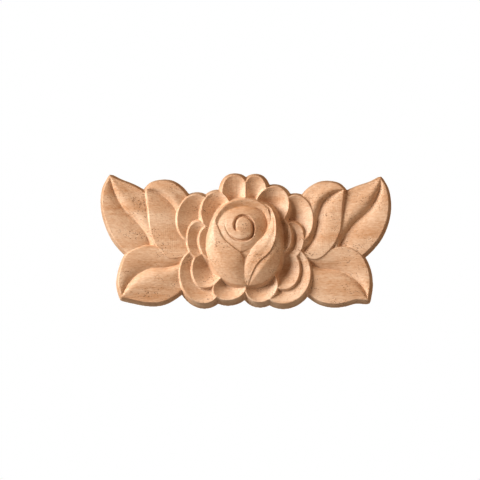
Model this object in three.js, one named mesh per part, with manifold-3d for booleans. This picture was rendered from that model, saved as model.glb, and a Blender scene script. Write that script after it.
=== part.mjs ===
// A rose with three leaves on each side, carved as one from a board of pale wood.
// Millimetres. +X runs along the rosette, +Z is up. The flat back lies in the plane y = 0,
// with the origin at its middle, and the carving faces -Y.
import * as THREE from 'three';
import { mergeVertices } from 'three/addons/utils/BufferGeometryUtils.js';
import Module from 'manifold-3d';

const wasm = await Module();
wasm.setup();

// Driving dimensions
const LENGTH = 150;
const BUD_HEIGHT = 14.5; // from the back to the top of the dome that the bud lies on
const BUD_DROP = 2; // how far that dome falls to the bud's sides
const PETAL_EDGE = 7.8; // from the back to the rims of the outermost petals
const PETAL_RISE = 2.2; // how much higher the rims would stand in the middle of the flower
const LEAF_EDGE = 5.9; // from the back to the edge of the lowest leaves
const LEAF_STEP = 0.6; // each leaf's edge stands this much above the one below it
const LEAF_FALL = 2.4; // how far a leaf's inner half drops towards the leaf or petal over it
const RIB_DEPTH = 2.2; // the valley along a leaf's middle
const LEAF_SWELL = 1.3; // the inner half's rise beside that valley
const CUP_DEPTH = 1.9; // the drop inside the rim of the bud's outermost petal
const RIM_LAND = 0.35; // flat rim left around each hollow
const WALL_SLOPE = 0.28; // sideways run of an outer wall for each millimetre of height
const DISH_DEPTH = 5.8; // the most that a petal's hollow falls from its outermost rim
const SPIRAL_WIDTH = 1.9; // the groove that winds round the top of the bud
const SPIRAL_DEPTH = 2.2;
const BACK_ALLOWANCE = 1; // spare wood behind the back, planed off last

// Places in the plan are in hundredths of the length, and lifts are in hundredths of the bud's height.
const PLAN = LENGTH / 100;
const LIFT = BUD_HEIGHT / 100;
const FLOWER_RADIUS = 23.7;
const BUD_RADIUS = 12.5;

// Shares of a petal lobe's half width: how far the hollow of a small one falls from its outermost
// rim, and how far the deepest place lies from its centre towards the flower's middle.
const DISH_FALL = 0.7;
const DISH_LEAN = 0.65;

/** The height of the petals' rims, which rise a little towards the flower's middle. */
function rimHeight(x, z) {
  const share = Math.min(1, Math.hypot(x, z) / FLOWER_RADIUS);
  return PETAL_EDGE + PETAL_RISE * (1 - share ** 2) ** 2;
}

/** The height of the bud's dome, with a lift above it. */
function budHeight(x, z, lift = 0) {
  return BUD_HEIGHT - BUD_DROP * (Math.hypot(x, z) / BUD_RADIUS) ** 2 + lift * LIFT;
}

// Fineness of the facets
const RIM_POINTS = 32;
const DISH_RINGS = 3;
const BLADE_ROWS = 14;
const BLADE_HALF_COLUMNS = 3;
const GROOVE_ROWS = 40;
const SHORTEST_EDGE = 0.12; // millimetres
const THINNEST_FACET = 0.012;

const lerp = (a, b, t) => a + (b - a) * t;

// A sheet is a patch of carved surface: points [x, z, height above the back], triangles that
// turn counter-clockwise in the plan, and its edge in the same turn.

/** Rings of points from a closed rim to a heart; heights are surface(x, z, inward, rim's x, rim's z). */
function ringSheet(rim, heart, rings, surface) {
  const points = [];
  for (let ring = 0; ring < rings; ring++) {
    const inward = ring / rings;
    for (const [x, z] of rim) {
      const px = lerp(x, heart[0], inward);
      const pz = lerp(z, heart[1], inward);
      points.push([px, pz, surface(px, pz, inward, x, z)]);
    }
  }
  points.push([heart[0], heart[1], surface(heart[0], heart[1], 1, rim[0][0], rim[0][1])]);
  const count = rim.length;
  const triangles = [];
  for (let ring = 0; ring < rings - 1; ring++) {
    for (let i = 0; i < count; i++) {
      const a = ring * count + i;
      const b = ring * count + ((i + 1) % count);
      triangles.push([a, b, b + count], [a, b + count, a + count]);
    }
  }
  const last = (rings - 1) * count;
  for (let i = 0; i < count; i++) {
    triangles.push([last + i, last + ((i + 1) % count), points.length - 1]);
  }
  return { points, triangles, edge: rim.map((_, i) => i) };
}

/** Rows across a blade from its left edge over its spine to its right edge, from base to tip. */
function bladeSheet(left, spine, right, rows, surface) {
  const points = [];
  const triangles = [];
  const half = BLADE_HALF_COLUMNS;
  const columns = 2 * half + 1;
  const index = (row, column) => {
    if (row === 0) return 0;
    if (row === rows) return 1;
    return 2 + (row - 1) * columns + column;
  };
  const place = (row, column) => {
    const along = row / rows;
    const across = (column - half) / half;
    const middle = spine(along);
    const side = across < 0 ? left(along) : right(along);
    const mixed = middle.map((value, k) => lerp(value, side[k], Math.abs(across)));
    return [mixed[0], mixed[1], surface(mixed, along, across, middle, side)];
  };
  points.push(place(0, half), place(rows, half));
  for (let row = 1; row < rows; row++) {
    for (let column = 0; column < columns; column++) points.push(place(row, column));
  }
  for (let row = 0; row < rows; row++) {
    for (let column = 0; column < columns - 1; column++) {
      const a = index(row, column);
      const b = index(row, column + 1);
      const c = index(row + 1, column + 1);
      const d = index(row + 1, column);
      if (a !== b) triangles.push([a, b, c]);
      if (c !== d) triangles.push([a, c, d]);
    }
  }
  const edge = [0];
  for (let row = 1; row < rows; row++) edge.push(index(row, columns - 1));
  edge.push(1);
  for (let row = rows - 1; row > 0; row--) edge.push(index(row, 0));
  return { points, triangles, edge };
}

/** A copy of the sheet whose triangles and edge turn counter-clockwise in the plan. */
function facingOut(sheet) {
  let area = 0;
  sheet.edge.forEach((at, i) => {
    const [x, z] = sheet.points[at];
    const [nextX, nextZ] = sheet.points[sheet.edge[(i + 1) % sheet.edge.length]];
    area += x * nextZ - nextX * z;
  });
  if (area > 0) return sheet;
  return {
    points: sheet.points,
    triangles: sheet.triangles.map(([a, b, c]) => [a, c, b]),
    edge: [...sheet.edge].reverse(),
  };
}

/** The closed solid between a sheet's front and its back, with its back edge moved out by spread. */
function solidOf(sheet, front, back, spread) {
  const { points, triangles, edge } = facingOut(sheet);
  const position = [];
  const frontOf = points.map(([x, z, height]) => [x * PLAN, -front(height), z * PLAN]);
  const backOf = points.map(([x, z, height]) => [x * PLAN, -back(height), z * PLAN]);
  edge.forEach((at, i) => {
    const before = frontOf[edge[(i + edge.length - 1) % edge.length]];
    const after = frontOf[edge[(i + 1) % edge.length]];
    const dx = after[0] - before[0];
    const dz = after[2] - before[2];
    const run = (spread * (backOf[at][1] - frontOf[at][1])) / Math.hypot(dx, dz);
    backOf[at] = [backOf[at][0] + dz * run, backOf[at][1], backOf[at][2] - dx * run];
  });
  for (const [a, b, c] of triangles) {
    position.push(...frontOf[a], ...frontOf[b], ...frontOf[c]);
    position.push(...backOf[c], ...backOf[b], ...backOf[a]);
  }
  edge.forEach((a, i) => {
    const b = edge[(i + 1) % edge.length];
    position.push(...frontOf[a], ...backOf[a], ...backOf[b]);
    position.push(...frontOf[a], ...backOf[b], ...frontOf[b]);
  });
  return toManifold(position);
}

function toManifold(position) {
  const loose = new THREE.BufferGeometry();
  loose.setAttribute('position', new THREE.Float32BufferAttribute(position, 3));
  const merged = mergeVertices(loose, 1e-5);
  return new wasm.Manifold(new wasm.Mesh({
    numProp: 3,
    vertProperties: merged.attributes.position.array,
    triVerts: new Uint32Array(merged.index.array),
  }));
}

// The three solids that a sheet gives: the wood under it with its sloping wall, the wood above
// it that a gouge takes away, and the whole column through it.
const woodUnder = (sheet) => solidOf(sheet, (height) => height, () => -BACK_ALLOWANCE, WALL_SLOPE);
const woodAbove = (sheet) => solidOf(sheet, () => 2 * BUD_HEIGHT, (height) => height, 0);
const columnOf = (sheet) => solidOf(sheet, () => 2 * BUD_HEIGHT, () => -2 * BACK_ALLOWANCE, 0);

/** Puts a carved patch in front of all that is there already. */
function layOn(work, sheet) {
  return work.subtract(columnOf(sheet)).add(woodUnder(sheet));
}

/** A smooth curve through a few places, read by its share of the way along. */
function through(places) {
  const curve = new THREE.CatmullRomCurve3(
    places.map(([x, z, lift = 0]) => new THREE.Vector3(x, z, lift)),
    false,
    'centripetal',
  );
  return (share) => curve.getPointAt(share).toArray();
}

// Leaves, lowest first on each side. Each has a base under the flower or the next leaf, a tip, and the
// places that its outer edge, its rib and its inner edge pass between the two.
const LEAVES = [
  {
    tier: 0,
    base: [-30.5, -8],
    tip: [-46.6, 22.3],
    outer: [[-37, -6.9], [-43.6, -1.3], [-46.9, 4.2], [-48.9, 11.2], [-48.7, 17.8]],
    rib: [[-32.1, -3], [-33.8, 1.6], [-37.7, 6.8], [-42.4, 11.6], [-45.5, 17.7]],
    inner: [[-27.6, -1], [-29.3, 8.9], [-33.6, 15.6], [-38.2, 18.6], [-43.6, 20.8]],
  },
  {
    tier: 0,
    base: [30.5, -8],
    tip: [46.3, 21.2],
    outer: [[37, -7.2], [43.8, -1.6], [47.1, 3.6], [48.9, 10.6], [48.3, 17.2]],
    rib: [[31.9, -3], [33.5, 1.2], [37.5, 6.1], [42.7, 10.8], [45.7, 17]],
    inner: [[28, -1], [29.2, 8.7], [33.4, 15.4], [37.8, 17.8], [42.9, 19.5]],
  },
  {
    tier: 1,
    base: [-19, -7],
    tip: [-42.2, -19.5],
    outer: [[-26.4, -3.8], [-32.9, -2], [-36.7, -2.9], [-40.6, -5.1], [-42.9, -11.1], [-43.3, -15.4]],
    rib: [[-27.2, -9.5], [-32, -9.6], [-36.1, -11.2], [-39.9, -14.7]],
    inner: [[-20.4, -15.5], [-24.7, -19.4], [-28.7, -21.2], [-33.3, -21.4], [-38.5, -20.4]],
  },
  {
    tier: 1,
    base: [18.5, -7],
    tip: [41.5, -20.8],
    outer: [[24.7, -5.1], [31, -2.9], [34.6, -2.8], [39.1, -5.3], [41.6, -10], [42.3, -15.4]],
    rib: [[25.4, -9.8], [31, -10.5], [36.3, -12.9], [40.1, -17]],
    inner: [[19.6, -16], [24.6, -20.7], [29.4, -22], [33.4, -21.7], [37.5, -20.6]],
  },
  {
    tier: 2,
    base: [-18, -5],
    tip: [-34.1, 17.5],
    outer: [[-25.7, -6.3], [-29.8, -2.7], [-32.2, 2.4], [-33.3, 10.9]],
    rib: [[-21.7, 5.1], [-24.2, 10.9], [-27.4, 14.5], [-30.5, 16.5]],
    inner: [[-17.6, 5], [-19.7, 14.3], [-22.8, 18.3], [-25.8, 20], [-29.2, 20.2], [-32.4, 19.3]],
  },
  {
    tier: 2,
    base: [17.5, -5],
    tip: [33.7, 17],
    outer: [[24.3, -6.8], [29.2, -2.9], [32.2, 2.7], [33, 10.7]],
    rib: [[22.4, -1], [24.6, 7.7], [26.2, 12.5], [29.9, 15.7]],
    inner: [[16.9, 3.8], [18.3, 12.1], [21.4, 16.8], [25.5, 19.3], [29.4, 19.5], [32, 18.7]],
  },
];

/** A leaf's carved face: its outer half dips to the rib, and its inner half swells beside it. */
function leafSheet({ tier, base, tip, outer, rib, inner }) {
  const edgeHeight = LEAF_EDGE + tier * LEAF_STEP;
  const side = (places) => through([base, ...places, tip]);
  const surface = (place, along, across) => {
    const fade = 1 - Math.max(0, 1 - 4 * (1 - along)) ** 2;
    const towardsEdge = Math.abs(across);
    if (across <= 0) return edgeHeight - RIB_DEPTH * fade * (1 - towardsEdge) ** 3;
    const valley = RIB_DEPTH * fade * (1 - towardsEdge) ** 4;
    const swell = LEAF_SWELL * fade * 9.5 * towardsEdge * (1 - towardsEdge) ** 3;
    const fall = LEAF_FALL * (1 - along) * towardsEdge;
    return edgeHeight - valley + swell - fall;
  };
  return bladeSheet(side(outer), side(rib), side(inner), BLADE_ROWS, surface);
}

// Petals, lowest first. Each has one or two lobes, and a lobe is a hollowed ellipse: its centre,
// its half width and half height, and its turn in degrees.
const PETALS = [
  [{ at: [-17.1, 7.2], half: [6.3, 8.4], turn: -5 }],
  [{ at: [17.2, 6.8], half: [6, 8.3], turn: 2 }],
  [{ at: [-15, -12.6], half: [7.3, 9.4], turn: 14 }],
  [{ at: [13.2, -12.1], half: [9, 10], turn: -11 }],
  [
    { at: [-3.8, 15.6], half: [4.3, 6.5], turn: -3, power: 2.5 },
    { at: [3.5, 15.4], half: [3.9, 6.5], turn: 3, power: 2.4 },
  ],
  [{ at: [-5.3, -16.6], half: [5.8, 4.2], turn: 12 }],
  [
    { at: [-16, -0.3], half: [3.9, 6.5], turn: 4 },
    { at: [-12.7, -9.5], half: [5.4, 7.2], turn: -13 },
  ],
  [
    { at: [15.3, -0.6], half: [4.6, 6.5], turn: -12 },
    { at: [12.7, -9.9], half: [5.8, 7.3], turn: 8 },
  ],
  [{ at: [5.5, -16.1], half: [5.2, 5.8], turn: -50 }],
  [
    { at: [-10.1, 9.5], half: [5.1, 6.9], turn: -3 },
    { at: [-9.4, -1.9], half: [5.9, 7.5], turn: 37 },
  ],
  [
    { at: [9, 11], half: [5.8, 7.4], turn: -20 },
    { at: [12, 1.7], half: [3.8, 6.1], turn: 9 },
  ],
];

/** Places around a turned ellipse, drawn in by a margin; a power over 2 squares its shoulders. */
function ellipse({ at, half, turn = 0, power = 2 }, margin = 0) {
  const angle = THREE.MathUtils.degToRad(turn);
  const places = [];
  for (let i = 0; i < RIM_POINTS; i++) {
    const around = (2 * Math.PI * i) / RIM_POINTS;
    const cosine = Math.cos(around);
    const sine = Math.sin(around);
    const u = (half[0] - margin) * Math.sign(cosine) * Math.abs(cosine) ** (2 / power);
    const v = (half[1] - margin) * Math.sign(sine) * Math.abs(sine) ** (2 / power);
    places.push([
      at[0] + u * Math.cos(angle) - v * Math.sin(angle),
      at[1] + u * Math.sin(angle) + v * Math.cos(angle),
    ]);
  }
  return places;
}

/** The lobe before its hollow is cut, up to its rim. */
const lobeBlank = (lobe) => ringSheet(ellipse(lobe), lobe.at, 1, rimHeight);

/** The face of a lobe's hollow, which falls towards the middle of the flower. */
function lobeHollow(lobe) {
  const half = Math.min(...lobe.half);
  const away = Math.hypot(...lobe.at);
  const deepest = lobe.at.map((value) => value * (1 - (DISH_LEAN * half) / away));
  const outermost = lobe.at.map((value) => value * (1 + half / away));
  const floor = rimHeight(...outermost) - Math.min(DISH_DEPTH, DISH_FALL * half * PLAN);
  const surface = (x, z, inward, rimX, rimZ) => lerp(floor, rimHeight(rimX, rimZ), (1 - inward) ** 1.3);
  return ringSheet(ellipse(lobe, RIM_LAND / PLAN), deepest, DISH_RINGS, surface);
}

function addPetal(work, lobes) {
  let result = work;
  for (const lobe of lobes) result = result.subtract(columnOf(lobeBlank(lobe)));
  for (const lobe of lobes) result = result.add(woodUnder(lobeBlank(lobe)));
  for (const lobe of lobes) result = result.subtract(woodAbove(lobeHollow(lobe)));
  return result;
}

// The bud. Its outermost petal is a cup, and each place on its other petals is [x, z, lift], where
// lift is the height above the dome.
const BUD_FOOT = { at: [-0.2, -1.4], half: [12.1, 14.5], power: 2.2, lift: -14 };
const CUP = { at: [-0.2, -0.6], half: [11.4, 14], power: 2.2 };
const CUP_BAND = 1 / 6; // the share of the cup over which its rim drops to the petals inside

const HEART = {
  top: [-1.3, 4.1],
  rim: [
    [-1.5, -4.8, -9], [2, -3.4, -13], [5.7, -0.1, -23], [7.7, 3.7, -27], [6.4, 8.9, -21],
    [0.3, 10.8, -12], [-6.2, 9.3, -9], [-8.7, 7.1, -8], [-9.5, 4.3, -7], [-8.5, 1.3, -7],
    [-5.5, -1.7, -7],
  ],
};

const BUD_PETALS = [
  {
    outer: [
      [7.8, 11.6, -7], [10.1, 8.9, -8], [11.4, 4.4, -8], [12.1, -1.4, -8], [11.9, -7.1, -8],
      [9.7, -12, -8], [6, -15, -10], [1.3, -16, -13],
    ],
    spine: [
      [7.8, 11.6, -7], [9.9, 6, -6], [10.6, -1, -2], [8.4, -6.5, 1], [5.2, -10.8, 1], [1.3, -16, -13],
    ],
    inner: [
      [7.8, 11.6, -7], [9.3, 8.1, -7], [9.8, 1.9, -6], [7.7, -4.2, -6], [4, -7.8, -8],
      [1.8, -11.4, -11], [1, -14.2, -13], [1.3, -16, -13],
    ],
  },
  {
    outer: [
      [-10.7, 6.5, -5], [-11.9, 3.1, -9], [-12.7, -0.9, -12], [-12.6, -4.7, -13], [-11, -9.4, -13],
      [-8.2, -13, -13], [-4.5, -15.3, -13], [0.4, -16.1, -13],
    ],
    spine: [
      [-10.7, 6.5, -5], [-10.7, 2.6, 0], [-10, -1.9, 1], [-8.1, -6.3, 1], [-5.4, -10.3, 0], [0.4, -16.1, -13],
    ],
    inner: [
      [-10.7, 6.5, -5], [-9.4, 4, -2], [-7.6, 0, -1], [-4.1, -3.3, -1], [-1.5, -5.3, -4],
      [-0.6, -8.3, -10], [-0.2, -12.2, -12], [0.4, -16.1, -13],
    ],
  },
  {
    outer: [
      [5.7, 12.2, -4], [8.6, 10.6, 1], [10.3, 6.3, 5], [10.4, 0.4, 6], [8.4, -4.6, 4],
      [4.6, -8.1, 1], [2.3, -11.9, -3], [0.9, -16, -12],
    ],
    spine: [
      [5.7, 12.2, -4], [9.1, 8.6, -2], [9.5, 2.6, -1], [6.6, -3.3, -2], [2.9, -7.7, -3], [1.3, -11.6, -6],
      [0.9, -16, -12],
    ],
    inner: [
      [5.7, 12.2, -4], [7.9, 9.7, -11], [8.4, 6, -14], [6.9, 1.5, -13], [2.7, -3.3, -11],
      [0.2, -8, -11], [-0.3, -13, -12], [0.9, -16, -13],
    ],
  },
];

function budPetalSheet({ outer, spine, inner }) {
  const surface = ([x, z], along, across, middle, side) => {
    const lift = lerp(middle[2], side[2], Math.abs(across) ** 1.6);
    return budHeight(x, z, lift);
  };
  return bladeSheet(through(outer), through(spine), through(inner), BLADE_ROWS, surface);
}

const heartSide = through([...HEART.rim, HEART.rim[0]]);
const HEART_RIM = Array.from({ length: RIM_POINTS }, (_, i) => heartSide(i / RIM_POINTS));

/** The innermost petals rise, steeply at first, from a rim with one point to the top of the bud. */
function heartHeight(x, z) {
  const dx = x - HEART.top[0];
  const dz = z - HEART.top[1];
  for (let i = 0; i < HEART_RIM.length; i++) {
    const [ax, az, lift] = HEART_RIM[i];
    const [bx, bz, nextLift] = HEART_RIM[(i + 1) % HEART_RIM.length];
    const across = dx * (bz - az) - dz * (bx - ax);
    const reach = ((ax - HEART.top[0]) * (bz - az) - (az - HEART.top[1]) * (bx - ax)) / across;
    const share = ((ax - HEART.top[0]) * dz - (az - HEART.top[1]) * dx) / across;
    if (reach > 0 && share > -1e-6 && share < 1 + 1e-6) {
      return budHeight(x, z, lerp(lift, nextLift, share) / reach ** 1.7);
    }
  }
  return budHeight(x, z);
}

const heartSheet = () => ringSheet(HEART_RIM, HEART.top, DISH_RINGS, heartHeight);

// The middle of the groove that winds round the top of the bud, from its inner end, and the shares
// of its length over which it deepens and fades again.
const SPIRAL = {
  line: [
    [-1.6, 1.8], [-3.3, 3], [-3.5, 5], [-2.6, 6.9], [-0.6, 7.6], [1.6, 6.5], [2.8, 3.9], [2.2, 0.6],
    [0.2, -0.7], [-2.6, -0.7], [-5.1, 0.8], [-6.6, 3.3], [-6.9, 6], [-5.9, 8.2],
  ],
  runIn: 0.08,
  runOut: 0.4,
};

/** The V-shaped groove round the top of the bud. */
function spiralSheet() {
  const middle = through(SPIRAL.line);
  const strength = (along) => Math.min(1, along / SPIRAL.runIn, (1 - along) / SPIRAL.runOut);
  const side = (offset) => (along) => {
    const [x, z] = middle(along);
    const before = middle(Math.max(0, along - 0.01));
    const after = middle(Math.min(1, along + 0.01));
    const run = [after[0] - before[0], after[1] - before[1]];
    const reach = (offset * strength(along) * SPIRAL_WIDTH) / 2 / PLAN / Math.hypot(...run);
    return [x + run[1] * reach, z - run[0] * reach, 0];
  };
  const surface = ([x, z], along, across) =>
    heartHeight(x, z) - SPIRAL_DEPTH * strength(along) * (1 - Math.abs(across)) + 0.1;
  return bladeSheet(side(-1), side(0), side(1), GROOVE_ROWS, surface);
}

/** The inside of the bud's outermost petal, which drops from its rim to a level floor. */
function cupHollow() {
  const surface = (x, z, inward) => budHeight(x, z) - CUP_DEPTH * Math.min(1, inward / CUP_BAND);
  return ringSheet(ellipse(CUP, RIM_LAND / PLAN), CUP.at, Math.round(1 / CUP_BAND), surface);
}

function addBud(work) {
  const footHeight = (x, z) => budHeight(x, z, BUD_FOOT.lift);
  const cupHeight = (x, z) => budHeight(x, z);
  let result = layOn(work, ringSheet(ellipse(BUD_FOOT), BUD_FOOT.at, 1, footHeight));
  result = layOn(result, ringSheet(ellipse(CUP), CUP.at, 1, cupHeight));
  result = result.subtract(woodAbove(cupHollow()));
  result = layOn(result, heartSheet());
  result = result.subtract(woodAbove(spiralSheet()));
  for (const petal of BUD_PETALS) result = layOn(result, budPetalSheet(petal));
  return result;
}

/**
 * The same closed surface without its slivers: edges too short to matter are closed up, and a
 * thin facet's long edge is turned to cross it. The vertices of the flat back stay in it.
 */
function withoutSlivers(vertices, triangles) {
  const facets = triangles.map((facet) => [...facet]);
  const around = vertices.map(() => new Set());
  facets.forEach((facet, id) => facet.forEach((vertex) => around[vertex].add(id)));

  const normalOf = (a, b, c) => {
    const [p, q, r] = [a, b, c].map((vertex) => vertices[vertex]);
    return q.clone().sub(p).cross(r.clone().sub(p));
  };
  const thicknessOf = ([a, b, c]) => {
    const longest = Math.max(lengthOf(a, b), lengthOf(b, c), lengthOf(c, a));
    return normalOf(a, b, c).length() / longest;
  };
  const lengthOf = (a, b) => vertices[a].distanceTo(vertices[b]);
  const neighbours = (vertex) => new Set([...around[vertex]].flatMap((id) => facets[id]));
  const shared = (a, b) => [...around[a]].filter((id) => around[b].has(id));
  const remove = (id) => {
    facets[id].forEach((vertex) => around[vertex].delete(id));
    facets[id] = null;
  };
  const onBack = (vertex) => Math.abs(vertices[vertex].y) < 1e-6;

  const collapse = (gone, kept) => {
    const both = [...neighbours(gone)].filter((vertex) => neighbours(kept).has(vertex));
    if (both.length !== 4 || (onBack(gone) && !onBack(kept))) return false;
    const moved = [...around[gone]].filter((id) => !facets[id].includes(kept));
    for (const id of moved) {
      const after = facets[id].map((vertex) => (vertex === gone ? kept : vertex));
      const turned = normalOf(...facets[id]).dot(normalOf(...after)) <= 0;
      if (turned && thicknessOf(facets[id]) > THINNEST_FACET) return false;
      if (thicknessOf(after) < THINNEST_FACET) return false;
    }
    shared(gone, kept).forEach(remove);
    for (const id of moved) {
      facets[id] = facets[id].map((vertex) => (vertex === gone ? kept : vertex));
      around[kept].add(id);
    }
    around[gone].clear();
    return true;
  };

  const turnLongEdge = (id) => {
    const facet = facets[id];
    const lengths = facet.map((vertex, i) => lengthOf(vertex, facet[(i + 1) % 3]));
    const from = lengths.indexOf(Math.max(...lengths));
    const [a, b, apex] = [facet[from], facet[(from + 1) % 3], facet[(from + 2) % 3]];
    const other = shared(a, b).find((candidate) => candidate !== id);
    const far = facets[other].find((vertex) => vertex !== a && vertex !== b);
    if (neighbours(apex).has(far)) return false;
    const first = [a, far, apex];
    const second = [far, b, apex];
    const before = normalOf(...facets[other]);
    const sound = (next) => normalOf(...next).dot(before) > 0 && thicknessOf(next) > thicknessOf(facet);
    if (!sound(first) || !sound(second)) return false;
    remove(id);
    remove(other);
    facets[id] = first;
    facets[other] = second;
    first.forEach((vertex) => around[vertex].add(id));
    second.forEach((vertex) => around[vertex].add(other));
    return true;
  };

  for (let changed = true, pass = 0; changed && pass < 12; pass++) {
    changed = false;
    for (let id = 0; id < facets.length; id++) {
      for (let i = 0; i < 3 && facets[id]; i++) {
        const [a, b] = [facets[id][i], facets[id][(i + 1) % 3]];
        if (lengthOf(a, b) < SHORTEST_EDGE && (collapse(a, b) || collapse(b, a))) changed = true;
      }
      if (facets[id] && thicknessOf(facets[id]) < THINNEST_FACET && turnLongEdge(id)) changed = true;
    }
  }
  return facets.filter((facet) => facet !== null);
}

/** All that lies behind the flat back. */
function backPlane() {
  const depth = 4 * BACK_ALLOWANCE;
  const slab = new THREE.BoxGeometry(2 * LENGTH, depth, 2 * LENGTH).translate(0, depth / 2, 0);
  return toManifold(slab.toNonIndexed().attributes.position.array);
}

function carvedRosette() {
  let work = woodUnder(leafSheet(LEAVES[0]));
  for (const leaf of LEAVES.slice(1)) work = layOn(work, leafSheet(leaf));
  for (const petal of PETALS) work = addPetal(work, petal);
  work = addBud(work);
  work = work.subtract(backPlane());
  const { vertProperties, triVerts } = work.getMesh();
  const vertices = [];
  for (let i = 0; i < vertProperties.length; i += 3) {
    vertices.push(new THREE.Vector3().fromArray(vertProperties, i));
  }
  const triangles = [];
  for (let i = 0; i < triVerts.length; i += 3) triangles.push([...triVerts.subarray(i, i + 3)]);
  const facets = withoutSlivers(vertices, triangles);
  const geometry = new THREE.BufferGeometry().setFromPoints(vertices).setIndex(facets.flat());
  geometry.computeVertexNormals();
  return geometry;
}

const paleWood = new THREE.MeshStandardMaterial({ color: 0xdcae84, roughness: 0.7, metalness: 0 });

const rosette = new THREE.Mesh(carvedRosette(), paleWood);
rosette.name = 'carved_rosette';

const part = new THREE.Group();
part.add(rosette);
export default part;
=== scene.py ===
"""Carves and finishes a rose with six leaves in pale hardwood, and lights it for a portrait.

The rosette is one piece. Its plan is drawn in hundredths of its length, x along it and z up it, and
heights are millimetres above its flat back. Patches of carved face are laid on one another in the
order a carver meets them, and the last one laid lies in front.
"""

import logging
import math
from collections.abc import Callable, Sequence
from dataclasses import dataclass, field
from enum import Enum

import bpy
import numpy as np
from mathutils import Matrix, Vector


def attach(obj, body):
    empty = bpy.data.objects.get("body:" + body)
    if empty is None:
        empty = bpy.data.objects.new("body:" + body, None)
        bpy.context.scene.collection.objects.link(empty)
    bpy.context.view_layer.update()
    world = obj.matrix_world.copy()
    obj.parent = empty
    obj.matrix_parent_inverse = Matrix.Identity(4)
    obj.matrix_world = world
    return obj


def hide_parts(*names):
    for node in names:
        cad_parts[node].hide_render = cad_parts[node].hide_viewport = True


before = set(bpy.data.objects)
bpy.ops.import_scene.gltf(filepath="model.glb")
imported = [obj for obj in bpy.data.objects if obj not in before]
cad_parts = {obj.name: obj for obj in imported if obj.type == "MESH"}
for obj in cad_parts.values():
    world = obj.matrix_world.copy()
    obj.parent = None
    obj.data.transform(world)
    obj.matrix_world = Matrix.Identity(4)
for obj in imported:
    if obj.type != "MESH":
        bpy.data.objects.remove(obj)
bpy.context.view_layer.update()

log = logging.getLogger("rosette")

MILLIMETRE = 0.001
Place = tuple[float, ...]
Curve = Callable[[np.ndarray], np.ndarray]
Surface = Callable[..., np.ndarray]
CURVE_STEPS = 40  # places worked out from one given place to the next


def add_node(tree: bpy.types.NodeTree, kind: str, settings: dict | None = None,
             inputs: dict | None = None) -> bpy.types.Node:
    """Adds a node with its settings and links.

    Args:
        tree: the node tree that takes the node.
        kind: the node's type.
        settings: values of the node's own attributes, by name.
        inputs: what each input takes, by socket name or number: a plain value, another node's
            socket, or another node, which gives its first output.

    Returns:
        The new node.
    """
    node = tree.nodes.new(kind)
    for name, value in (settings or {}).items():
        setattr(node, name, value)
    for name, value in (inputs or {}).items():
        if isinstance(value, bpy.types.Node):
            value = next(socket for socket in value.outputs if socket.enabled)
        if isinstance(value, bpy.types.NodeSocket):
            tree.links.new(value, node.inputs[name])
        else:
            node.inputs[name].default_value = value
    return node


def linear(colour: str) -> tuple[float, float, float, float]:
    """Turns an sRGB hex colour to linear values.

    Args:
        colour: six hex digits after a #.

    Returns:
        Red, green, blue and an alpha of 1.
    """
    shares = [int(colour[i:i + 2], 16) / 255 for i in (1, 3, 5)]
    red, green, blue = [s / 12.92 if s <= 0.04045 else ((s + 0.055) / 1.055) ** 2.4 for s in shares]
    return red, green, blue, 1.0


@dataclass(frozen=True)
class Sizes:
    """The driving sizes of the whole carving, in millimetres unless they say otherwise.

    Attributes:
        length: from tip to tip of the side leaves.
        bud_height: from the back to the top of the dome that the bud lies on.
        bud_drop: how far that dome falls to the bud's sides.
        bud_radius: where it has fallen that far, in hundredths of the length.
        petal_edge: from the back to the rims of the outermost petals.
        petal_rise: how much higher the rims would stand in the middle of the flower.
        flower_radius: where the outermost rims lie, in hundredths of the length.
        wall_slope: sideways run of an outer wall for each millimetre of height.
        rim_land: flat rim left around each hollow.
        spare_back: wood left behind the back until it is planed off.
    """
    length: float = 150.0
    bud_height: float = 14.5
    bud_drop: float = 2.0
    bud_radius: float = 12.5
    petal_edge: float = 7.8
    petal_rise: float = 2.2
    flower_radius: float = 23.7
    wall_slope: float = 0.28
    rim_land: float = 0.35
    spare_back: float = 1.0

    @property
    def plan(self) -> float:
        """Millimetres in a hundredth of the length."""
        return self.length / 100

    @property
    def above(self) -> float:
        """A height clear of the highest wood."""
        return 2 * self.bud_height

    def rims(self, x: np.ndarray, z: np.ndarray) -> np.ndarray:
        """The height of the petals' rims.

        Args:
            x: places along the rosette, in hundredths of the length.
            z: places up it.

        Returns:
            Heights in millimetres.
        """
        share = np.minimum(1.0, np.hypot(x, z) / self.flower_radius)
        return self.petal_edge + self.petal_rise * (1 - share**2) ** 2

    def bud(self, x: np.ndarray, z: np.ndarray, lift: np.ndarray | float = 0.0) -> np.ndarray:
        """The height of the bud's dome.

        Args:
            x: places along the rosette, in hundredths of the length.
            z: places up it.
            lift: heights above the dome, in hundredths of its own height.

        Returns:
            Heights in millimetres.
        """
        drop = self.bud_drop * (np.hypot(x, z) / self.bud_radius) ** 2
        return self.bud_height - drop + np.asarray(lift) * self.bud_height / 100


SIZES = Sizes()


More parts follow.
